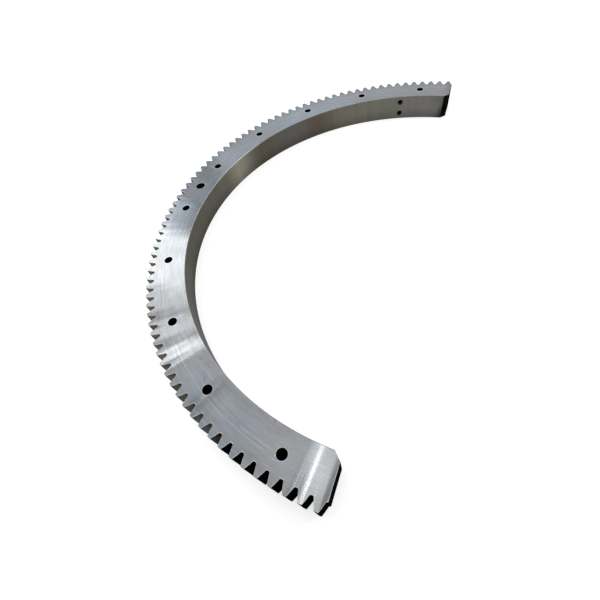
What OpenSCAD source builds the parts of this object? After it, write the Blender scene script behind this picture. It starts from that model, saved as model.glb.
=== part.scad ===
// Girth gear segment: one half of a large split spur ring gear.
// The gear axis is Z, the underside lies at z = 0, and the split is the plane x = 0.
// The segment lies on the -X side, so its open side faces +X.

/* [Teeth] */
// Module: pitch diameter divided by the teeth of the whole ring
tooth_module = 16; // [10:1:24]
// Teeth on one half of the ring
half_teeth = 75; // [48:1:100]
// Pressure angle of the involute flanks
pressure_angle = 20; // [14.5:0.5:25]
// Tooth height above the pitch circle, in modules
addendum = 1; // [0.8:0.05:1.1]
// Tooth depth below the pitch circle, in modules
dedendum = 1.25; // [1.1:0.05:1.4]
// Reach of the root fillet along the flank and the root, in modules
root_fillet = 0.28; // [0.05:0.01:0.32]

/* [Rim] */
// Face width, along the gear axis
face_width = 130; // [110:5:200]
// Radial depth of the rim, from the bore to the tooth roots
rim_depth = 140; // [120:5:240]
// Edge break along both edges of the bore
bore_chamfer = 2; // [0.5:0.5:6]
// Flat cut across each inner corner of the split
split_chamfer = 25; // [5:1:40]

/* [Bolt circle] */
// Bolt holes in one half of the ring
bolt_count = 10; // [4:2:14]
// Diameter of the bolt holes
bolt_hole_d = 36; // [16:1:50]
// Distance from the bore wall to the bolt circle
bolt_inset = 80; // [60:1:90]
// Diameter of the larger hole at the middle of the segment
middle_hole_d = 45; // [20:1:60]
// Edge break on both rims of each hole
hole_chamfer = 1.5; // [0.5:0.5:4]

/* [Radial holes] */
// Diameter of the blind holes in the bore wall
radial_hole_d = 30; // [10:1:34]
// Depth of their straight wall
radial_hole_depth = 50; // [20:1:60]
// Height of each hole's axis from the nearer face
radial_hole_edge = 32; // [22:1:36]
// Angle from the split to each pair
radial_hole_angle = 15; // [4:0.5:40]
// Angle of the drill point at the bottom of each hole
drill_point = 118; // [90:1:140]

/* [Hidden] */

pitch_r = tooth_module * half_teeth;
tip_r = pitch_r + addendum * tooth_module;
root_r = pitch_r - dedendum * tooth_module;
base_r = pitch_r * cos(pressure_angle);
tooth_step = 180 / half_teeth;
bore_r = root_r - rim_depth;
bolt_circle_r = bore_r + bolt_inset;
bolt_step = 180 / bolt_count;

// How far the cutting shapes reach past the faces they open
overcut = 1;
flank_steps = 6;
fillet_steps = 4;

function polar(r, a) = [r * cos(a), r * sin(a)];
function turned(p, a) = [p.x * cos(a) - p.y * sin(a), p.x * sin(a) + p.y * cos(a)];
function flipped(points) = [for (i = [len(points) - 1:-1:0]) [points[i].x, -points[i].y]];

// Involute geometry: the angle of the flank at a radius, and half the angle the tooth fills there
function flank_angle(r) = acos(base_r / r);
function involute(a) = tan(a) * 180 / PI - a;
function half_tooth(r) = tooth_step / 4 + involute(pressure_angle) - involute(flank_angle(r));

// The fillet stops short of the middle of the tooth gap
root_half_gap = (tooth_step / 2 - half_tooth(root_r)) * PI / 180 * root_r;
fillet_reach = min(root_fillet * tooth_module, 0.9 * root_half_gap);
fillet_top_r = root_r + fillet_reach * cos(flank_angle(root_r));
fillet_foot = polar(root_r, -half_tooth(root_r) - fillet_reach / root_r * 180 / PI);
fillet_corner = polar(root_r, -half_tooth(root_r));
fillet_top = polar(fillet_top_r, -half_tooth(fillet_top_r));

// One side of a tooth that points along +X: the fillet, then the flank up to the tip
tooth_side = concat(
    [for (i = [0:fillet_steps]) let (t = i / fillet_steps)
        (1 - t) * (1 - t) * fillet_foot + 2 * t * (1 - t) * fillet_corner + t * t * fillet_top],
    [for (i = [1:flank_steps]) let (r = fillet_top_r + (tip_r - fillet_top_r) * i / flank_steps)
        polar(r, -half_tooth(r))]
);
tooth = concat(tooth_side, flipped(tooth_side));

// Half disc with teeth, split through the middle of a tooth gap at both ends
toothed_outline = concat(
    [[0, root_r]],
    [for (k = [0:half_teeth - 1], p = tooth) turned(p, 90 + (k + 0.5) * tooth_step)],
    [[0, -root_r]]
);

// Through hole along Z with an edge break on both rims
module face_hole(d) {
    translate([0, 0, -overcut]) cylinder(h = face_width + 2 * overcut, d = d, $fn = 96);
    for (side = [0, 1])
        translate([0, 0, side * face_width]) mirror([0, 0, side])
            rim_cone(d / 2, hole_chamfer, 96);
}

// Cone that breaks the edge of a round opening in the face z = 0
module rim_cone(r, size, facets) {
    translate([0, 0, -overcut])
        cylinder(h = size + overcut, r1 = r + size + overcut, r2 = r, $fn = facets);
}

module bore() {
    translate([0, 0, -overcut]) cylinder(h = face_width + 2 * overcut, r = bore_r, $fn = 360);
    for (side = [0, 1])
        translate([0, 0, side * face_width]) mirror([0, 0, side])
            rim_cone(bore_r, bore_chamfer, 360);
}

module bolt_circle() {
    for (k = [0:bolt_count - 1])
        rotate([0, 0, 90 + (k + 0.5) * bolt_step]) translate([bolt_circle_r, 0, 0])
            face_hole(bolt_hole_d);
    translate([-bolt_circle_r, 0, 0]) face_hole(middle_hole_d);
}

// Wedge off the corner between the bore and the split at +Y
module split_corner() {
    reach = split_chamfer + overcut;
    translate([0, bore_r, -overcut]) linear_extrude(face_width + 2 * overcut)
        polygon([[-reach, -overcut], [overcut, reach], [overcut, -overcut]]);
}

// Blind drilled hole that opens at the origin and runs along +X
module drilled_hole() {
    point_h = radial_hole_d / 2 / tan(drill_point / 2);
    rotate([0, 90, 0]) {
        // starts inside the bore, because the wall curves away from the hole's rim
        translate([0, 0, -overcut]) cylinder(h = radial_hole_depth + overcut, d = radial_hole_d, $fn = 64);
        translate([0, 0, radial_hole_depth])
            cylinder(h = point_h, d1 = radial_hole_d, d2 = 0, $fn = 64);
    }
}

module radial_holes() {
    for (a = [radial_hole_angle, 180 - radial_hole_angle], z = [radial_hole_edge, face_width - radial_hole_edge])
        rotate([0, 0, 90 + a]) translate([bore_r, 0, z]) drilled_hole();
}

module gear_segment() {
    color([0.58, 0.6, 0.63]) difference() {
        linear_extrude(face_width) polygon(toothed_outline);
        bore();
        bolt_circle();
        for (side = [0, 1]) mirror([0, side, 0]) split_corner();
        radial_holes();
    }
}

gear_segment();
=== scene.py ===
import math

import bmesh
import bpy
from mathutils import Matrix, Vector


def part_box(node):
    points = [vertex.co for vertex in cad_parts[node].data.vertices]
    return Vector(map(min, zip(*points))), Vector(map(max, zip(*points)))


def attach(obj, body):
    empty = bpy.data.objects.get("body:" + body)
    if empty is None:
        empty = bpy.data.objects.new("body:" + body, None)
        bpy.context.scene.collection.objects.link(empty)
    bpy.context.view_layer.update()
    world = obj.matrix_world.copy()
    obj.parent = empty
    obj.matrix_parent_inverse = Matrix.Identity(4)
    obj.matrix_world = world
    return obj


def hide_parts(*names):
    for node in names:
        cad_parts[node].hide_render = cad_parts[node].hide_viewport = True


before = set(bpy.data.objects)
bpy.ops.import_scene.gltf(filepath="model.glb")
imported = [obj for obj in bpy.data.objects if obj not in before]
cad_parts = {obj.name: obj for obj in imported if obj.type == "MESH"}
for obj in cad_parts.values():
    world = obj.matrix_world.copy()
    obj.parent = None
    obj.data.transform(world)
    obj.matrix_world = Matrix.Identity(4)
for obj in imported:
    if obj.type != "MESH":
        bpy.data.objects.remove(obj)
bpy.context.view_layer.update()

scene = bpy.context.scene
scene.view_settings.view_transform = "Standard"


# the gear: axis on Z, underside at z = 0, split on the plane x = 0, metal on the -X side
gear = {
    "module": 0.016,
    "halfTeeth": 75,
    "pressureAngle": math.radians(20),
    "addendum": 1.0,            # modules
    "dedendum": 1.25,
    "rootFillet": 0.28,
    "rimDepth": 0.140,          # bore to tooth roots
    "splitChamfer": 0.025,
    "boreBreak": 0.002,
    "edgeBreak": 0.0014,        # hobbed and milled edges, filed off
    "flankSteps": 8,
    "filletSteps": 5,
}
pitchR = gear["module"] * gear["halfTeeth"]
tipR = pitchR + gear["addendum"] * gear["module"]
rootR = pitchR - gear["dedendum"] * gear["module"]
baseR = pitchR * math.cos(gear["pressureAngle"])
boreR = rootR - gear["rimDepth"]
toothStep = math.pi / gear["halfTeeth"]
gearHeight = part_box("gear_segment")[1].z

holes = {
    "boltCount": 10,
    "boltR": 0.018,
    "circleR": boreR + 0.080,
    "middleR": 0.0225,
    "chamfer": 0.0015,
    "radialR": 0.015,
    "radialDepth": 0.050,
    "radialAngle": math.radians(15),    # from the split to each pair
    "radialEdge": 0.032,                # hole axis to the nearer face
    "drillPoint": math.radians(118),
    "radialBreak": 0.0008,
    "facets": 72,
    "overcut": 0.004,
}


def involute(angle):
    return math.tan(angle) - angle


def halfToothAt(radius):
    flankAngle = math.acos(baseR / radius)
    return toothStep / 4 + involute(gear["pressureAngle"]) - involute(flankAngle)


def polar(radius, angle):
    return Vector((radius * math.cos(angle), radius * math.sin(angle), 0))


def toothSide():
    # from the middle of a tooth gap, over the fillet and up the flank, to the middle of the tip on +X
    halfRoot = halfToothAt(rootR)
    reach = gear["rootFillet"] * gear["module"]
    filletTopR = rootR + reach * math.cos(math.acos(baseR / rootR))
    foot = polar(rootR, -halfRoot - reach / rootR)
    corner = polar(rootR, -halfRoot)
    top = polar(filletTopR, -halfToothAt(filletTopR))
    points = [polar(rootR, -toothStep / 2)]
    for i in range(gear["filletSteps"] + 1):
        t = i / gear["filletSteps"]
        points.append((1 - t) ** 2 * foot + 2 * t * (1 - t) * corner + t ** 2 * top)
    for i in range(1, gear["flankSteps"] + 1):
        radius = filletTopR + (tipR - filletTopR) * i / gear["flankSteps"]
        points.append(polar(radius, -halfToothAt(radius)))
    points.append(Vector((points[-1].x, 0, 0)))
    return points


def addChain(bm, points):
    chain = [bm.verts.new(point) for point in points]
    return chain + [bm.edges.new(pair) for pair in zip(chain, chain[1:])]


def vertsIn(made):
    return [part for part in made if isinstance(part, bmesh.types.BMVert)]


def newPiece(name, bm):
    mesh = bpy.data.meshes.new(name)
    bm.to_mesh(mesh)
    bm.free()
    piece = bpy.data.objects.new(name, mesh)
    scene.collection.objects.link(piece)
    return piece


def rimSolid():
    bm = bmesh.new()
    addChain(bm, toothSide())
    bmesh.ops.mirror(bm, geom=bm.verts[:] + bm.edges[:], merge_dist=1e-6, axis="Y")
    inner = bmesh.ops.extrude_edge_only(bm, edges=bm.edges[:])
    for vert in vertsIn(inner["geom"]):
        vert.co *= boreR / vert.co.length
    # first tooth beside the +Y split, then round to the -Y one
    start = Matrix.Rotation(math.pi / 2 + toothStep / 2, 3, "Z")
    bmesh.ops.rotate(bm, matrix=start, verts=bm.verts)
    more = gear["halfTeeth"] - 1
    bmesh.ops.spin(bm, geom=bm.verts[:] + bm.edges[:] + bm.faces[:], axis=(0, 0, 1),
                   angle=toothStep * more, steps=more, use_duplicate=True)
    bmesh.ops.remove_doubles(bm, verts=bm.verts, dist=1e-5)
    for side in (1, -1):
        near = [f for f in bm.faces if f.calc_center_median().x > -0.04
                and f.calc_center_median().y * side > 0]
        parts = set(near)
        for face in near:
            parts.update(face.edges)
            parts.update(face.verts)
        bmesh.ops.bisect_plane(bm, geom=list(parts), plane_no=(1, -side, 0), clear_outer=True,
                               plane_co=(0, side * (boreR + gear["splitChamfer"]), 0))
    raised = bmesh.ops.extrude_face_region(bm, geom=bm.faces[:])
    bmesh.ops.translate(bm, vec=(0, 0, gearHeight), verts=vertsIn(raised["geom"]))
    bmesh.ops.recalc_face_normals(bm, faces=bm.faces)
    # the edge breaks are weights for a Bevel modifier: the bore's are the widest
    weight = bm.edges.layers.float.new("bevel_weight_edge")
    for edge in bm.edges:
        if edge.calc_face_angle() < math.radians(30):
            continue
        flat = abs(edge.verts[0].co.z - edge.verts[1].co.z) < 1e-6
        onBore = all(abs(vert.co.xy.length - boreR) < 1e-5 for vert in edge.verts)
        edge[weight] = 1 if flat and onBore else gear["edgeBreak"] / gear["boreBreak"]
    return newPiece("gearSegment", bm)


def lathe(bm, outline, place):
    # (radius, height) points turned into a closed cutter
    chain = addChain(bm, [(radius, 0, height) for radius, height in outline])
    known = set(bm.verts) - set(vertsIn(chain))
    bmesh.ops.spin(bm, geom=chain, axis=(0, 0, 1), angle=2 * math.pi,
                   steps=holes["facets"], use_merge=True)
    verts = [vert for vert in bm.verts if vert not in known]
    bmesh.ops.remove_doubles(bm, verts=verts, dist=1e-6)
    verts = [vert for vert in bm.verts if vert not in known]
    bmesh.ops.transform(bm, matrix=place, verts=verts)
    return verts


def faceHoleOutline(radius):
    over = holes["overcut"]
    wide = radius + holes["chamfer"]
    return [(0, -over), (wide + over, -over), (radius, holes["chamfer"]),
            (radius, gearHeight - holes["chamfer"]), (wide + over, gearHeight + over),
            (0, gearHeight + over)]


def radialHoleOutline():
    over = holes["overcut"]
    radius = holes["radialR"]
    point = radius / math.tan(holes["drillPoint"] / 2)
    return [(0, -over), (radius + holes["radialBreak"] + over, -over), (radius, holes["radialBreak"]),
            (radius, holes["radialDepth"]), (0, holes["radialDepth"] + point)]


def faceHoleSpots():
    # the bolt holes, then the larger one at the middle
    boltStep = math.pi / holes["boltCount"]
    turns = [math.pi / 2 + (k + 0.5) * boltStep for k in range(holes["boltCount"])]
    return [polar(holes["circleR"], turn) for turn in turns + [math.pi]]


def holeCutters():
    bm = bmesh.new()
    *bolts, middle = faceHoleSpots()
    for spot in bolts:
        lathe(bm, faceHoleOutline(holes["boltR"]), Matrix.Translation(spot))
    lathe(bm, faceHoleOutline(holes["middleR"]), Matrix.Translation(middle))
    outwards = Matrix.Rotation(math.pi / 2, 4, "Y")
    for angle in (holes["radialAngle"], math.pi - holes["radialAngle"]):
        for height in (holes["radialEdge"], gearHeight - holes["radialEdge"]):
            turn = Matrix.Rotation(math.pi / 2 + angle, 4, "Z")
            shift = Matrix.Translation((boreR, 0, height))
            lathe(bm, radialHoleOutline(), turn @ shift @ outwards)
    bmesh.ops.recalc_face_normals(bm, faces=bm.faces)
    return newPiece("holeCutters", bm)


def applyModifiers(piece):
    graph = bpy.context.evaluated_depsgraph_get()
    finished = bpy.data.meshes.new_from_object(piece.evaluated_get(graph))
    piece.modifiers.clear()
    piece.data = finished


gearSegment = rimSolid()
breaks = gearSegment.modifiers.new("edge breaks", "BEVEL")
breaks.limit_method = "WEIGHT"
breaks.width = gear["boreBreak"]
breaks.segments = 2
breaks.use_clamp_overlap = False
cutters = holeCutters()
drilling = gearSegment.modifiers.new("drilling", "BOOLEAN")
drilling.operation = "DIFFERENCE"
drilling.solver = "EXACT"
drilling.object = cutters
applyModifiers(gearSegment)
bpy.data.objects.remove(cutters)
print("gear segment cut:", len(gearSegment.data.vertices), "vertices,", len(gearSegment.data.polygons), "faces")


# nodes
def addNode(tree, kind, inputs=None, **settings):
    made = tree.nodes.new("ShaderNode" + kind)
    for name, value in settings.items():
        setattr(made, name, value)
    for name, value in (inputs or {}).items():
        if isinstance(value, bpy.types.NodeSocket):
            tree.links.new(value, made.inputs[name])
        else:
            made.inputs[name].default_value = value
    return made


def maths(tree, operation, a, b=0.0):
    return addNode(tree, "Math", {0: a, 1: b}, operation=operation).outputs[0]


def spread(tree, value, low, high, fromLow=0.0, fromHigh=1.0, smooth=False):
    made = addNode(tree, "MapRange", {"Value": value, "From Min": fromLow, "From Max": fromHigh,
                                      "To Min": low, "To Max": high})
    if smooth:
        made.interpolation_type = "SMOOTHSTEP"
    return made.outputs["Result"]


def blendColour(tree, share, first, second, how="MIX"):
    made = addNode(tree, "Mix", {0: share, 6: first, 7: second}, data_type="RGBA", blend_type=how)
    return made.outputs[2]


def scaleColour(tree, colour, level):
    flat = colour[:3] if isinstance(colour, tuple) else colour
    return addNode(tree, "VectorMath", {0: flat, "Scale": level}, operation="SCALE").outputs[0]


def paint(red, green, blue):
    return (red, green, blue, 1)


def ramp(tree, value, stops):
    made = addNode(tree, "ValToRGB", {"Fac": value})
    made.color_ramp.interpolation = "EASE"
    steps = made.color_ramp.elements
    while len(steps) < len(stops):
        steps.new(0.5)
    for step, (position, colour) in zip(steps, stops):
        step.position = position
        step.color = colour
    return made.outputs["Color"]


def newSteel(name, roughness, anisotropic=0.0):
    material = bpy.data.materials.new(name)
    material.use_nodes = True
    shader = material.node_tree.nodes["Principled BSDF"]
    shader.inputs["Metallic"].default_value = 1
    shader.inputs["Roughness"].default_value = roughness
    shader.inputs["Anisotropic"].default_value = anisotropic
    return material, material.node_tree, shader


def newPaintedShadeBlack(name):
    # painted shade: black, with no mirror even at a flat angle
    material, tree, shader = newSteel(name, 0.9)
    shader.inputs["Metallic"].default_value = 0
    shader.inputs["Specular IOR Level"].default_value = 0
    return material, tree, shader


def ringPlaces(tree):
    # radius, angle from the middle of the segment (+ towards +Y), height, and the way outwards
    spot = addNode(tree, "TexCoord").outputs["Object"]
    parts = addNode(tree, "SeparateXYZ", {0: spot})
    flat = addNode(tree, "VectorMath", {0: spot, 1: (1, 1, 0)}, operation="MULTIPLY").outputs[0]
    outwards = addNode(tree, "VectorMath", {0: flat}, operation="NORMALIZE").outputs[0]
    radius = addNode(tree, "VectorMath", {0: flat}, operation="LENGTH").outputs["Value"]
    back = maths(tree, "MULTIPLY", parts.outputs["X"], -1.0)
    angle = maths(tree, "ARCTAN2", parts.outputs["Y"], back)
    return spot, radius, angle, parts.outputs["Z"], outwards


def roundArc(tree, angle, looks):
    # what changes round the arc: degrees from the middle (+ towards +Y) and the colour there
    place = spread(tree, angle, 0.0, 1.0, -math.pi / 2, math.pi / 2)
    return ramp(tree, place, [(0.5 + degrees / 180, colour) for degrees, colour in looks])


def toneRoundArc(tree, angle, tones):
    return roundArc(tree, angle, [(degrees, paint(tone, tone, tone)) for degrees, tone in tones])


def streaks(tree, across, along, perMetre, stretch, detail=2.0, rough=0.5, shift=0.0):
    # noise drawn out into lines: quick across them, slow along them
    quick = maths(tree, "MULTIPLY", across, perMetre)
    slow = maths(tree, "MULTIPLY", along, stretch)
    place = addNode(tree, "CombineXYZ", {0: quick, 1: slow, 2: shift})
    return addNode(tree, "TexNoise", {"Vector": place.outputs[0], "Scale": 1.0, "Detail": detail,
                                      "Roughness": rough}).outputs["Fac"]


def clouds(tree, spot, scale, detail=2.0):
    return addNode(tree, "TexNoise", {"Vector": spot, "Scale": scale, "Detail": detail}).outputs["Fac"]


def bump(tree, shader, height, depth):
    made = addNode(tree, "Bump", {"Height": height, "Strength": 1.0, "Distance": depth})
    tree.links.new(made.outputs[0], shader.inputs["Normal"])


turned = {
    "plain": paint(0.187, 0.193, 0.201),
    "blue": paint(0.176, 0.204, 0.236),
    # where the blue is, in degrees from the middle, + towards +Y
    "blueShares": [(-90, 0.0), (-82, 0.05), (-76, 0.15), (-70, 0.6), (-60, 0.55), (-55, 0.0), (-26, 0.1),
                   (-7, 0.85), (43, 0.85), (66, 0.45), (88, 0.1)],
    "mauve": paint(0.204, 0.196, 0.220),
    "green": paint(0.186, 0.203, 0.198),
    "warm": paint(1.045, 1.0, 0.95),            # films of oil and hand marks tint the steel
    "cool": paint(0.96, 1.0, 1.045),
    "roughness": 0.18,
    "nearRoughness": 0.125,                     # a finer cut at the -Y end, from these degrees on
    "nearFrom": math.radians(-77),
    "nearTo": math.radians(-84),
    "nearCalm": 0.4,                            # its marks are fainter too
    "anisotropic": 1.0,
    "cutsPerMetre": 900.0,                      # fine tool marks
    "bandsPerMetre": 110.0,                     # where one pass of the tool meets the next
    "scratchesPerMetre": 330.0,
    "cutDepth": 0.00002,
    "scribedRadii": (1.0975, 1.139),
    "scribedWidth": 0.0015,
    "scribedTone": 0.26,
    "scribedFrom": math.radians(-54),           # and none beyond, towards the -Y end
    "holeRingR": (0.0222, 0.0255),                # lighter rings round the holes, near end and far end
    "holeRingTone": 0.34,
    # painted highlight and shade round the arc on the teeth, along their outline and along the bore edge: degrees
    # from the middle, + towards +Y, and tone
    "toothTones": [(-90, 0.92), (-46, 0.92), (-36, 1.08), (-6, 1.08), (12, 0.94), (26, 0.84), (90, 0.86)],
    "rimTones": [(-90, 1.10), (-30, 1.10), (0, 1.0), (14, 0.8), (26, 0.5), (90, 0.46)],
    "rimWidth": 0.0045,
    "edgeTones": [(-90, 1.0), (-66, 1.06), (-40, 1.10), (-4, 1.10), (14, 1.15), (22, 1.06), (28, 0.98), (90, 0.96)],
    "edgeWidth": 0.0035,
    # painted shade and highlight: how much darker the face is at the bore than at the teeth, beside the brightest
    # band
    "leanShares": [(-90, 0), (-21, 0), (-19, 1), (-9, 1), (-5, 0), (90, 0)],
    "leanTones": (0.66, 1.16),
    "lightScuff": 0.30,
    "darkScuff": -0.42,
    "faintScuff": 0.17,
}
# marks left round the arc by the tool: radius, both ends in degrees from the middle, half width, tone
arcMarks = [
    {"radius": 1.1385, "from": -79.0, "to": -50.0, "width": 0.0026, "tone": turned["lightScuff"]},
    {"radius": 1.1246, "from": -79.5, "to": -72.0, "width": 0.0026, "tone": turned["lightScuff"]},
    {"radius": 1.1069, "from": -75.8, "to": -73.6, "width": 0.0024, "tone": turned["faintScuff"]},
    {"radius": 1.1315, "from": -78.6, "to": -75.6, "width": 0.0034, "tone": turned["darkScuff"] / 3},
    {"radius": 1.0860, "from": -63.0, "to": -55.0, "width": 0.0022, "tone": turned["faintScuff"]},
]
# rubs and nicks across it: (x, y) of both ends, half width, tone
scuffs = [
    {"from": (-0.686, -0.833), "to": (-0.673, -0.855), "width": 0.0022, "tone": turned["darkScuff"]},
    {"from": (-0.542, -0.955), "to": (-0.534, -0.980), "width": 0.0026, "tone": turned["darkScuff"]},
    {"from": (-0.596, -0.893), "to": (-0.587, -0.904), "width": 0.0030, "tone": turned["darkScuff"]},
    {"from": (-0.240, -1.014), "to": (-0.232, -1.027), "width": 0.0032, "tone": turned["darkScuff"]},
]


def scuffTone(tree, spot, scuff):
    start = Vector((*scuff["from"], gearHeight))
    way = Vector((*scuff["to"], gearHeight)) - start
    along = way.normalized()
    across = Vector((-along.y, along.x, 0))
    offset = addNode(tree, "VectorMath", {0: spot, 1: start}, operation="SUBTRACT").outputs[0]
    far = addNode(tree, "VectorMath", {0: offset, 1: along}, operation="DOT_PRODUCT").outputs["Value"]
    off = addNode(tree, "VectorMath", {0: offset, 1: across}, operation="DOT_PRODUCT").outputs["Value"]
    fromMiddle = maths(tree, "ABSOLUTE", maths(tree, "SUBTRACT", far, way.length / 2))
    ends = spread(tree, fromMiddle, 1.0, 0.0, way.length * 0.3, way.length / 2, True)
    line = spread(tree, maths(tree, "ABSOLUTE", off), scuff["tone"], 0.0, 0.0, scuff["width"], True)
    return maths(tree, "MULTIPLY", line, ends)


def arcMarkTone(tree, radius, angle, mark):
    middle = math.radians(mark["from"] + mark["to"]) / 2
    half = math.radians(mark["to"] - mark["from"]) / 2
    fromMiddle = maths(tree, "ABSOLUTE", maths(tree, "SUBTRACT", angle, middle))
    ends = spread(tree, fromMiddle, 1.0, 0.0, half * 0.8, half, True)
    off = maths(tree, "ABSOLUTE", maths(tree, "SUBTRACT", radius, mark["radius"]))
    line = spread(tree, off, mark["tone"], 0.0, 0.0, mark["width"], True)
    return maths(tree, "MULTIPLY", line, ends)


def outlineDistance(tree, radius, angle):
    # how far a point of the face is from the outline of the teeth; one stands at the middle of the arc
    turn = maths(tree, "PINGPONG", angle, toothStep / 2)
    half = spread(tree, radius, rootR * halfToothAt(rootR), tipR * halfToothAt(tipR), rootR, tipR)
    toFlank = maths(tree, "SUBTRACT", half, maths(tree, "MULTIPLY", turn, radius))
    toRoot = maths(tree, "SUBTRACT", rootR, radius)
    toTip = maths(tree, "SUBTRACT", tipR, radius)
    return maths(tree, "MINIMUM", maths(tree, "MAXIMUM", toFlank, toRoot), toTip)


def holeDistance(tree, spot, radius, angle):
    # how far a point of the face is from the middle of the nearest hole
    step = math.pi / holes["boltCount"]
    turn = maths(tree, "PINGPONG", angle, step / 2)
    aside = maths(tree, "MULTIPLY", maths(tree, "SUBTRACT", step / 2, turn), holes["circleR"])
    off = maths(tree, "SUBTRACT", radius, holes["circleR"])
    place = addNode(tree, "CombineXYZ", {0: aside, 1: off}).outputs[0]
    toBolt = addNode(tree, "VectorMath", {0: place}, operation="LENGTH").outputs["Value"]
    middle = Vector((-holes["circleR"], 0, 0))
    flat = addNode(tree, "VectorMath", {0: spot, 1: (1, 1, 0)}, operation="MULTIPLY").outputs[0]
    toMiddle = addNode(tree, "VectorMath", {0: flat, 1: middle}, operation="DISTANCE").outputs["Value"]
    # the middle hole is the larger one
    toMiddle = maths(tree, "SUBTRACT", toMiddle, holes["middleR"] - holes["boltR"])
    return maths(tree, "MINIMUM", toBolt, toMiddle)


def turnedFaceSteel():
    material, tree, shader = newSteel("turnedFace", turned["roughness"], turned["anisotropic"])
    spot, radius, angle, height, outwards = ringPlaces(tree)
    tree.links.new(outwards, shader.inputs["Tangent"])
    cuts = streaks(tree, radius, angle, turned["cutsPerMetre"], 1.3, 2.0)
    bands = streaks(tree, radius, angle, turned["bandsPerMetre"], 5.0, 3.0, 0.6, 7.0)
    scratches = streaks(tree, radius, angle, turned["scratchesPerMetre"], 16.0, 1.0, 0.5, 13.0)
    cloudy = clouds(tree, spot, 5.0)
    patches = streaks(tree, radius, angle, 17.0, 7.0, 3.0, 0.5, 57.0)
    wipes = streaks(tree, radius, angle, 55.0, 13.0, 3.0, 0.6, 31.0)
    films = streaks(tree, radius, angle, 26.0, 9.0, 3.0, 0.6, 43.0)
    smears = clouds(tree, spot, 17.0, 4.0)
    share = maths(tree, "MULTIPLY", toneRoundArc(tree, angle, turned["blueShares"]),
                  spread(tree, cloudy, 0.7, 1.3, 0.3, 0.7))
    colour = blendColour(tree, share, turned["plain"], turned["blue"])
    colour = blendColour(tree, spread(tree, patches, 0.0, 0.6, 0.48, 0.72, True), colour, turned["mauve"])
    colour = blendColour(tree, spread(tree, patches, 0.6, 0.0, 0.28, 0.50, True), colour, turned["green"])
    tint = blendColour(tree, spread(tree, films, 0.0, 1.0, 0.3, 0.7), turned["warm"], turned["cool"])
    colour = blendColour(tree, 1.0, colour, tint, "MULTIPLY")
    tone = spread(tree, bands, 0.90, 1.10, 0.25, 0.75)
    tone = maths(tree, "MULTIPLY", tone, spread(tree, cuts, 0.92, 1.08, 0.3, 0.7))
    tone = maths(tree, "MULTIPLY", tone, spread(tree, wipes, 0.92, 1.08, 0.3, 0.7))
    tone = maths(tree, "MULTIPLY", tone, spread(tree, cloudy, 0.94, 1.06, 0.3, 0.7))
    tone = maths(tree, "MULTIPLY", tone, spread(tree, smears, 0.97, 1.03, 0.3, 0.7))
    calm = spread(tree, angle, turned["nearCalm"], 1.0, turned["nearTo"], turned["nearFrom"], True)
    tone = spread(tree, calm, 1.0, tone)
    # painted shade towards the bore and painted highlight towards the teeth, beside the brightest band
    lean = spread(tree, radius, *turned["leanTones"], boreR, rootR)
    tone = maths(tree, "MULTIPLY", tone,
                 spread(tree, toneRoundArc(tree, angle, turned["leanShares"]), 1.0, lean))
    # painted highlight and shade on the teeth: lighter beside the brightest band, darker towards the +Y end
    toothShare = spread(tree, radius, 0.0, 1.0, holes["circleR"] + 0.02, rootR + 0.006, True)
    toothTone = toneRoundArc(tree, angle, turned["toothTones"])
    tone = maths(tree, "MULTIPLY", tone, spread(tree, toothShare, 1.0, toothTone))
    # painted shade and highlight along the outline of the teeth: darker towards the +Y end, lighter towards the -Y
    # end
    rimEnd = gear["edgeBreak"] + turned["rimWidth"]
    rimShare = spread(tree, outlineDistance(tree, radius, angle), 1.0, 0.0, gear["edgeBreak"], rimEnd, True)
    rimTone = toneRoundArc(tree, angle, turned["rimTones"])
    tone = maths(tree, "MULTIPLY", tone, spread(tree, rimShare, 1.0, rimTone))
    # painted highlight along the bore edge, brightest where the band of the bore lamp falls
    edgeEnd = boreR + gear["boreBreak"] + turned["edgeWidth"]
    edgeShare = spread(tree, radius, 1.0, 0.0, edgeEnd - 0.001, edgeEnd, True)
    edgeTone = toneRoundArc(tree, angle, turned["edgeTones"])
    tone = maths(tree, "MULTIPLY", tone, spread(tree, edgeShare, 1.0, edgeTone))
    tone = maths(tree, "ADD", tone, spread(tree, scratches, 0.0, 0.20, 0.60, 0.76))
    tone = maths(tree, "ADD", tone, spread(tree, scratches, -0.10, 0.0, 0.26, 0.40))
    # lighter rings round the holes
    nearR, farR = turned["holeRingR"]
    holeRingR = spread(tree, angle, nearR, farR, -0.8, 1.2)
    outside = maths(tree, "SUBTRACT", holeDistance(tree, spot, radius, angle), holeRingR)
    ringed = spread(tree, outside, turned["holeRingTone"], 0.0, -0.0012, 0.0012, True)
    tone = maths(tree, "ADD", tone, ringed)
    for number, scribed in enumerate(turned["scribedRadii"]):
        off = maths(tree, "ABSOLUTE", maths(tree, "SUBTRACT", radius, scribed))
        line = spread(tree, off, turned["scribedTone"], 0.0, 0.0, turned["scribedWidth"], True)
        worn = spread(tree, streaks(tree, angle, radius, 9.0, 0.5, 2.0, 0.5, 20.0 + number), 0.1, 1.0, 0.4, 0.6)
        ended = spread(tree, angle, 0.0, 1.0, turned["scribedFrom"], turned["scribedFrom"] + 0.1)
        tone = maths(tree, "ADD", tone, maths(tree, "MULTIPLY", line, maths(tree, "MULTIPLY", worn, ended)))
    for mark in arcMarks:
        tone = maths(tree, "ADD", tone, arcMarkTone(tree, radius, angle, mark))
    for scuff in scuffs:
        tone = maths(tree, "ADD", tone, scuffTone(tree, spot, scuff))
    tree.links.new(scaleColour(tree, colour, tone), shader.inputs["Base Color"])
    rough = spread(tree, angle, turned["nearRoughness"], turned["roughness"], turned["nearTo"], turned["nearFrom"],
                   True)
    rough = maths(tree, "ADD", rough, spread(tree, bands, -0.005, 0.005, 0.25, 0.75))
    tree.links.new(rough, shader.inputs["Roughness"])
    bump(tree, shader, maths(tree, "MULTIPLY", cuts, calm), turned["cutDepth"])
    return material


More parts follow.
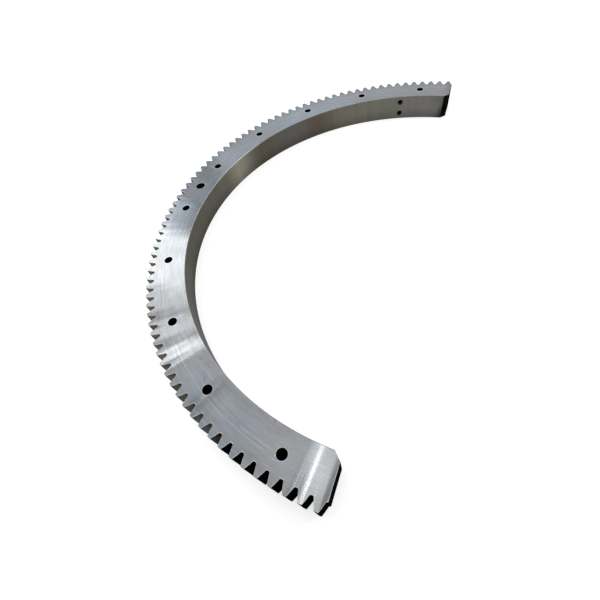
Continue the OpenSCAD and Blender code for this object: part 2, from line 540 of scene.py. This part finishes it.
bored = {
    "olive": (0.116, 0.112, 0.090),
    "grey": (0.112, 0.109, 0.103),
    "brown": (0.114, 0.097, 0.077),
    # stains, and painted reflection and shade, on the wall round the arc: degrees from the middle, + towards +Y,
    # colour and tone
    "stainsAndPaintedLight": [(-56, "grey", 1.05), (-20, "olive", 0.90), (12, "olive", 0.87), (26, "brown", 0.76),
               (37, "grey", 0.88), (45, "brown", 0.84), (60, "olive", 1.2), (85, "grey", 1.27),
               (88.8, "grey", 0.25)],
    "grazing": 0.6,                             # keeps the wall from whitening at a flat angle
    "roughness": 0.36,
    "anisotropic": 1.0,
    "cutsPerMetre": 1100.0,
    "cutDepth": 0.00002,
    "footTone": 0.72,
    "footHeight": 0.075,
}


def boredSteel():
    material, tree, shader = newSteel("boreWall", bored["roughness"], bored["anisotropic"])
    shader.inputs["Specular Tint"].default_value = paint(bored["grazing"], bored["grazing"], bored["grazing"])
    spot, radius, angle, height, outwards = ringPlaces(tree)
    upwards = addNode(tree, "CombineXYZ", {2: 1.0}).outputs[0]
    tree.links.new(upwards, shader.inputs["Tangent"])
    cuts = streaks(tree, height, angle, bored["cutsPerMetre"], 1.5, 2.0)
    fine = streaks(tree, angle, height, 26.0, 1.5, 3.0, 0.6)
    broad = streaks(tree, angle, height, 7.0, 4.0, 2.0, 0.5, 3.0)
    # stains in the colours, painted reflection bands and shade in the tones
    stainsAndPaintedLight = [(degrees, paint(*[part * tone for part in bored[name]])) for degrees, name, tone in bored["stainsAndPaintedLight"]]
    ragged = maths(tree, "ADD", angle, spread(tree, broad, -0.038, 0.038, 0.3, 0.7))
    colour = roundArc(tree, ragged, stainsAndPaintedLight)
    tone = spread(tree, fine, 0.90, 1.10, 0.25, 0.75)
    tone = maths(tree, "MULTIPLY", tone, spread(tree, broad, 0.92, 1.08, 0.3, 0.7))
    tone = maths(tree, "MULTIPLY", tone, spread(tree, cuts, 0.94, 1.06, 0.3, 0.7))
    tone = maths(tree, "MULTIPLY", tone,
                 spread(tree, height, bored["footTone"], 1.0, 0.0, bored["footHeight"], True))
    tree.links.new(scaleColour(tree, colour, tone), shader.inputs["Base Color"])
    tree.links.new(spread(tree, broad, bored["roughness"] - 0.03, bored["roughness"] + 0.04, 0.3, 0.7),
                   shader.inputs["Roughness"])
    bump(tree, shader, cuts, bored["cutDepth"])
    return material


hobbed = {
    "steel": paint(0.088, 0.083, 0.070),
    "oil": paint(0.030, 0.026, 0.019),
    "roughness": 0.42,
    "feedPerMetre": 260.0,
    "feedDepth": 0.00004,
    "rust": paint(0.114, 0.080, 0.053),
    "moss": paint(0.080, 0.092, 0.044),
    "toothPerTurn": 26.0,               # how quickly the colour changes from tooth to tooth
    "blackFrom": math.radians(-67),     # the flanks near the -Y split are painted black: painted shade
    "blackTo": math.radians(-72),
    # painted light and shade round the arc, black at the -Y end: degrees from the middle, + towards +Y, and tone
    "tones": [(-90, 0.05), (-70, 0.05), (-66, 0.25), (-59, 0.4), (-54, 0.9), (-32, 0.9), (-20, 0.6),
              (20, 0.35), (90, 0.35)],
    "edgeDepth": 0.007,                 # a darker rim under the top edge, painted shade, and darker along the tips
    "tipTone": 0.5,
}


def hobbedSteel():
    material, tree, shader = newSteel("toothFlank", hobbed["roughness"])
    shader.inputs["Specular IOR Level"].default_value = 0
    spot, radius, angle, height, outwards = ringPlaces(tree)
    oily = clouds(tree, spot, 34.0, 3.0)
    colour = blendColour(tree, spread(tree, oily, 0.0, 0.8, 0.42, 0.62, True), hobbed["steel"], hobbed["oil"])
    teeth = streaks(tree, angle, height, hobbed["toothPerTurn"], 5.0, 1.0)
    colour = blendColour(tree, spread(tree, teeth, 0.0, 0.9, 0.52, 0.66, True), colour, hobbed["rust"])
    colour = blendColour(tree, spread(tree, teeth, 0.9, 0.0, 0.34, 0.48, True), colour, hobbed["moss"])
    feed = streaks(tree, height, angle, hobbed["feedPerMetre"], 60.0, 1.0)
    tone = spread(tree, feed, 0.85, 1.15, 0.3, 0.7)
    # painted shade: near the -Y end the flanks lose their metal and go black
    bright = spread(tree, angle, 0.0, 1.0, hobbed["blackTo"], hobbed["blackFrom"], True)
    tone = maths(tree, "MULTIPLY", tone, toneRoundArc(tree, angle, hobbed["tones"]))
    # painted shade under the top edge, and darker along the tips
    depth = maths(tree, "SUBTRACT", gearHeight, height)
    tone = maths(tree, "MULTIPLY", tone, spread(tree, depth, 0.4, 1.0, 0.0, hobbed["edgeDepth"], True))
    tone = maths(tree, "MULTIPLY", tone,
                 spread(tree, radius, 1.0, hobbed["tipTone"], tipR - hobbed["edgeDepth"], tipR, True))
    tree.links.new(scaleColour(tree, colour, tone), shader.inputs["Base Color"])
    tree.links.new(bright, shader.inputs["Metallic"])
    tree.links.new(spread(tree, oily, 0.36, 0.5, 0.3, 0.7), shader.inputs["Roughness"])
    bump(tree, shader, feed, hobbed["feedDepth"])
    return material


# near-black colours for the split face and the bolt-hole walls: painted shade
paintedShadeBlack = {
    "split": paint(0.0042, 0.0042, 0.0042),
    "hole": paint(0.0030, 0.0030, 0.0032),
    "cutterPerMetre": 180.0,
    "cutterDepth": 0.00003,
    "feedPerMetre": 700.0,
}


# painted shade: the split face is near-black
def splitFacePaintedShade():
    material, tree, shader = newPaintedShadeBlack("splitFace")
    spot, radius, angle, height, outwards = ringPlaces(tree)
    sweep = streaks(tree, height, radius, paintedShadeBlack["cutterPerMetre"], 12.0, 2.0)
    grime = clouds(tree, spot, 24.0, 3.0)
    tone = maths(tree, "MULTIPLY", spread(tree, sweep, 0.6, 1.4, 0.3, 0.7), spread(tree, grime, 0.4, 1.9, 0.3, 0.7))
    tree.links.new(scaleColour(tree, paintedShadeBlack["split"], tone), shader.inputs["Base Color"])
    bump(tree, shader, sweep, paintedShadeBlack["cutterDepth"])
    return material


# painted shade: the bolt-hole walls are near-black
def holeWallPaintedShade():
    material, tree, shader = newPaintedShadeBlack("boltHoleWall")
    spot, radius, angle, height, outwards = ringPlaces(tree)
    feed = streaks(tree, height, angle, paintedShadeBlack["feedPerMetre"], 2.0, 1.0)
    tree.links.new(scaleColour(tree, paintedShadeBlack["hole"], spread(tree, feed, 0.5, 1.5, 0.3, 0.7)),
                   shader.inputs["Base Color"])
    bump(tree, shader, feed, paintedShadeBlack["cutterDepth"])
    return material


drilled = {
    "steel": paint(0.26, 0.25, 0.22),
    "metallic": 0.35,
    "roughness": 0.55,
    "feedPerMetre": 900.0,
    "feedDepth": 0.00003,
}


def drilledSteel():
    material, tree, shader = newSteel("drilledHoleWall", drilled["roughness"])
    shader.inputs["Metallic"].default_value = drilled["metallic"]
    spot, radius, angle, height, outwards = ringPlaces(tree)
    feed = streaks(tree, radius, height, drilled["feedPerMetre"], 8.0, 1.0)
    # painted shade: darker deeper in the radial holes
    paintedDepthShade = spread(tree, radius, 1.0, 0.15, boreR, boreR + holes["radialDepth"] * 0.6)
    tone = maths(tree, "MULTIPLY", paintedDepthShade, spread(tree, feed, 0.75, 1.25, 0.3, 0.7))
    tree.links.new(scaleColour(tree, drilled["steel"], tone), shader.inputs["Base Color"])
    bump(tree, shader, feed, drilled["feedDepth"])
    return material


# painted highlight and shade round the arc: degrees from the middle, + towards +Y
wornWithPaintedHighlight = {
    "toothEdge": {"tones": [(-90, 0.52), (6, 0.52), (24, 0.15), (90, 0.13)], "roughness": 0.40},
    "holeRim": {"tones": [(-90, 0.05), (90, 0.05)], "roughness": 0.50},
    "boreEdge": {"tones": [(-90, 0.22), (-62, 0.25), (-52, 0.18), (-44, 0.22), (-32, 0.36), (8, 0.36),
                           (14, 0.45), (20, 0.36), (26, 0.14), (90, 0.12)],
                 "roughness": 0.40},
    "tipTone": 0.22,                            # the corners of the tips are darkened: painted shade
    "tipBreak": 0.002,
    "wear": 0.2,
}


def wornSteelWithPaintedHighlight(name):
    look = wornWithPaintedHighlight[name]
    material, tree, shader = newSteel(name, look["roughness"])
    spot, radius, angle, height, outwards = ringPlaces(tree)
    worn = clouds(tree, spot, 60.0, 3.0)
    # painted highlight and shade round the arc, with wear at random
    tone = maths(tree, "MULTIPLY", toneRoundArc(tree, angle, look["tones"]),
                 spread(tree, worn, 1 - wornWithPaintedHighlight["wear"], 1 + wornWithPaintedHighlight["wear"], 0.3, 0.7))
    # painted shade at the corners of the tips
    paintedTipShade = spread(tree, radius, 1.0, wornWithPaintedHighlight["tipTone"], tipR - wornWithPaintedHighlight["tipBreak"], tipR - wornWithPaintedHighlight["tipBreak"] / 2)
    tone = maths(tree, "MULTIPLY", tone, paintedTipShade)
    tree.links.new(scaleColour(tree, paint(0.985, 1, 1.02), tone), shader.inputs["Base Color"])
    tree.links.new(spread(tree, worn, look["roughness"] - 0.06, look["roughness"] + 0.08, 0.3, 0.7),
                   shader.inputs["Roughness"])
    bump(tree, shader, worn, 0.0001)
    return material


turnedFace = turnedFaceSteel()
boreWall = boredSteel()
toothFlank = hobbedSteel()
splitFace = splitFacePaintedShade()
boltHoleWall = holeWallPaintedShade()
drilledHoleWall = drilledSteel()
toothEdge = wornSteelWithPaintedHighlight("toothEdge")
holeRim = wornSteelWithPaintedHighlight("holeRim")
boreEdge = wornSteelWithPaintedHighlight("boreEdge")
finishes = [turnedFace, boreWall, toothFlank, splitFace, boltHoleWall, drilledHoleWall,
            toothEdge, holeRim, boreEdge]
for finish in finishes:
    gearSegment.data.materials.append(finish)


def finishOf(centre, normal):
    radius = centre.xy.length
    edgeDepth = 1.5 * gear["boreBreak"]
    nearFace = centre.z < edgeDepth or centre.z > gearHeight - edgeDepth
    atSplit = centre.x > -edgeDepth
    atCorner = centre.x > -gear["splitChamfer"] and radius < boreR + gear["splitChamfer"]
    if abs(normal.z) > 0.995:
        return turnedFace
    if abs(normal.z) > 0.1 and nearFace:
        if radius < boreR + edgeDepth:
            return boreEdge
        holed = radius < holes["circleR"] + 2 * holes["middleR"] and not (atSplit or atCorner)
        if holed:
            return holeRim
        if centre.z > edgeDepth:
            return toothEdge
    if radius < boreR + 0.0002:
        return boreWall
    if atSplit or atCorner:
        return splitFace
    if radius < holes["circleR"] + 2 * holes["middleR"]:
        toBolt = min((centre.xy - spot.xy).length for spot in faceHoleSpots())
        return boltHoleWall if toBolt < 1.2 * holes["middleR"] else drilledHoleWall
    return toothFlank


for face in gearSegment.data.polygons:
    face.use_smooth = True
    face.material_index = finishes.index(finishOf(face.center, face.normal))
gearSegment.data.set_sharp_from_angle(angle=math.radians(50))
evenShading = gearSegment.modifiers.new("even shading", "WEIGHTED_NORMAL")
evenShading.keep_sharp = True
evenShading.weight = 50
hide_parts("gear_segment")
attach(gearSegment, "root")
print("gear segment finished")


view = {
    "place": Vector((0.1126, -1.2552, 1.2963)),
    "target": Vector((-0.3279, -0.5516, gearHeight)),
    "roll": math.radians(-13.446),
    "lens": 21.66,
    "sensor": 36.0,
}
lensData = bpy.data.cameras.new("camera")
lensData.lens = view["lens"]
lensData.sensor_width = view["sensor"]
lensData.clip_start = 0.05
camera = bpy.data.objects.new("camera", lensData)
scene.collection.objects.link(camera)
camera.location = view["place"]
aimed = (view["target"] - view["place"]).to_track_quat("-Z", "Y")
camera.rotation_mode = "QUATERNION"
camera.rotation_quaternion = aimed @ Matrix.Rotation(view["roll"], 3, "Z").to_quaternion()
scene.camera = camera
print("camera set")


studio = {
    "floorR": 14.0,
    "floorColour": paint(0.8, 0.8, 0.8),
    "floorGlow": 0.66,
    "matteLevel": 0.45,
}


def backgroundRays(tree):
    # 1 for rays that show the background itself, 0 for the light on matte surfaces
    path = addNode(tree, "LightPath").outputs
    seen = maths(tree, "MAXIMUM", path["Is Camera Ray"], path["Is Glossy Ray"])
    return maths(tree, "MAXIMUM", seen, path["Is Transmission Ray"])


bm = bmesh.new()
bmesh.ops.create_circle(bm, cap_ends=True, segments=64, radius=studio["floorR"])
bmesh.ops.translate(bm, vec=(0, 0, -0.0005), verts=bm.verts)
floor = newPiece("floor", bm)
floorPaint = bpy.data.materials.new("floorPaint")
floorPaint.use_nodes = True
shader = floorPaint.node_tree.nodes["Principled BSDF"]
shader.inputs["Base Color"].default_value = studio["floorColour"]
shader.inputs["Roughness"].default_value = 1
shader.inputs["Specular IOR Level"].default_value = 0
shader.inputs["Emission Color"].default_value = paint(1, 1, 1)
tree = floorPaint.node_tree
spot, radius, angle, height, outwards = ringPlaces(tree)
# no glow under the gear itself, so the floor in its holes and along its foot stays dark
fromMiddle = maths(tree, "ABSOLUTE", maths(tree, "SUBTRACT", radius, (boreR + rootR) / 2))
beside = spread(tree, fromMiddle, 0.0, 1.0, gear["rimDepth"] / 2 - 0.016, gear["rimDepth"] / 2 - 0.012)
beyond = spread(tree, maths(tree, "ABSOLUTE", angle), 0.0, 1.0, math.pi / 2 - 0.035, math.pi / 2 - 0.03)
clear = maths(tree, "MAXIMUM", beside, beyond)
glow = maths(tree, "MULTIPLY", backgroundRays(tree), maths(tree, "MULTIPLY", clear, studio["floorGlow"]))
tree.links.new(glow, shader.inputs["Emission Strength"])
floor.data.materials.append(floorPaint)

world = bpy.data.worlds.new("studioWorld")
scene.world = world
world.use_nodes = True
sky = world.node_tree.nodes["Background"]
sky.inputs["Color"].default_value = paint(1, 1, 1)
level = spread(world.node_tree, backgroundRays(world.node_tree), studio["matteLevel"], 1.0)
world.node_tree.links.new(level, sky.inputs["Strength"])


# a turned face mirrors each lamp as one radial band, so each hangs where the camera finds it there;
# the last one, with a rise, is found by the bore wall
lamps = {
    "lampFarEnd": {"from": 91, "to": 121, "away": 5.0, "width": 1.2, "level": 0.68},
    "lampFarSide": {"from": 121, "to": 171.4, "away": 5.0, "width": 1.2, "level": 0.88},
    "lampMiddleFaint": {"from": 177.5, "to": 185, "away": 4.0, "width": 1.0, "level": 0.27},
    "lampMiddleSoft": {"from": 186.5, "to": 196.9, "away": 4.0, "width": 1.0, "level": 1.35},
    "lampLeft": {"from": 197.2, "to": 215.9, "away": 4.0, "width": 1.2, "level": 4.8},
    "lampLeftSoft": {"from": 216.4, "to": 222, "away": 4.0, "width": 1.2, "level": 2.6},
    "lampLeftFaint": {"from": 223.8, "to": 228.7, "away": 4.0, "width": 1.2, "level": 3.35},
    "lampSlitLeft": {"from": 231.1, "to": 233.9, "away": 4.0, "width": 1.0, "level": 7.3},
    "lampNearSoft": {"from": 235.6, "to": 243.2, "away": 3.5, "width": 1.0, "level": 1.1},
    "lampOverhead": {"from": 245, "to": 264.8, "away": 3.5, "width": 1.0, "level": 0.95},
    "lampNearEnd": {"from": 265.1, "to": 269.6, "away": 3.5, "width": 1.0, "level": 2.1},
    "lampSlitNear": {"from": 266.35, "to": 266.75, "away": 3.5, "width": 1.0, "level": 8.3},
    "lampBore": {"from": 164.8, "to": 168.2, "away": 5.0, "width": 1.2, "level": 46.0, "rise": 0.2},
}


def hangLamp(name, centre, along, aim, width, level):
    lampData = bpy.data.lights.new(name, "AREA")
    lampData.shape = "RECTANGLE"
    lampData.size = along.length
    lampData.size_y = width
    lampData.energy = level * math.pi * along.length * width
    lamp = bpy.data.objects.new(name, lampData)
    scene.collection.objects.link(lamp)
    xAxis = along.normalized()
    zAxis = (centre - aim)
    zAxis = (zAxis - xAxis * zAxis.dot(xAxis)).normalized()
    turn = Matrix((xAxis, zAxis.cross(xAxis), zAxis)).transposed()
    lamp.matrix_world = Matrix.Translation(centre) @ turn.to_4x4()
    lamp.visible_camera = False


def bandEnd(degrees, away):
    spot = polar(holes["circleR"], math.radians(degrees)) + Vector((0, 0, gearHeight))
    toCamera = (view["place"] - spot).normalized()
    return spot, spot + Vector((-toCamera.x, -toCamera.y, toCamera.z)) * away


def wallBandEnd(degrees, away, rise):
    inwards = -polar(1, math.radians(degrees))
    spot = -inwards * boreR + Vector((0, 0, gearHeight / 2))
    sideways = Vector((-inwards.y, inwards.x, 0))
    aside = (view["place"] - spot).normalized().dot(sideways)
    depth = math.sqrt(1 - aside ** 2 - rise ** 2)
    return spot, spot + (inwards * depth - sideways * aside + Vector((0, 0, rise))) * away


for name, lamp in lamps.items():
    if "rise" in lamp:
        spotA, endA = wallBandEnd(lamp["from"], lamp["away"], lamp["rise"])
        spotB, endB = wallBandEnd(lamp["to"], lamp["away"], lamp["rise"])
    else:
        spotA, endA = bandEnd(lamp["from"], lamp["away"])
        spotB, endB = bandEnd(lamp["to"], lamp["away"])
    hangLamp(name, (endA + endB) / 2, endB - endA, (spotA + spotB) / 2, lamp["width"], lamp["level"])
print("stage and lamps set")
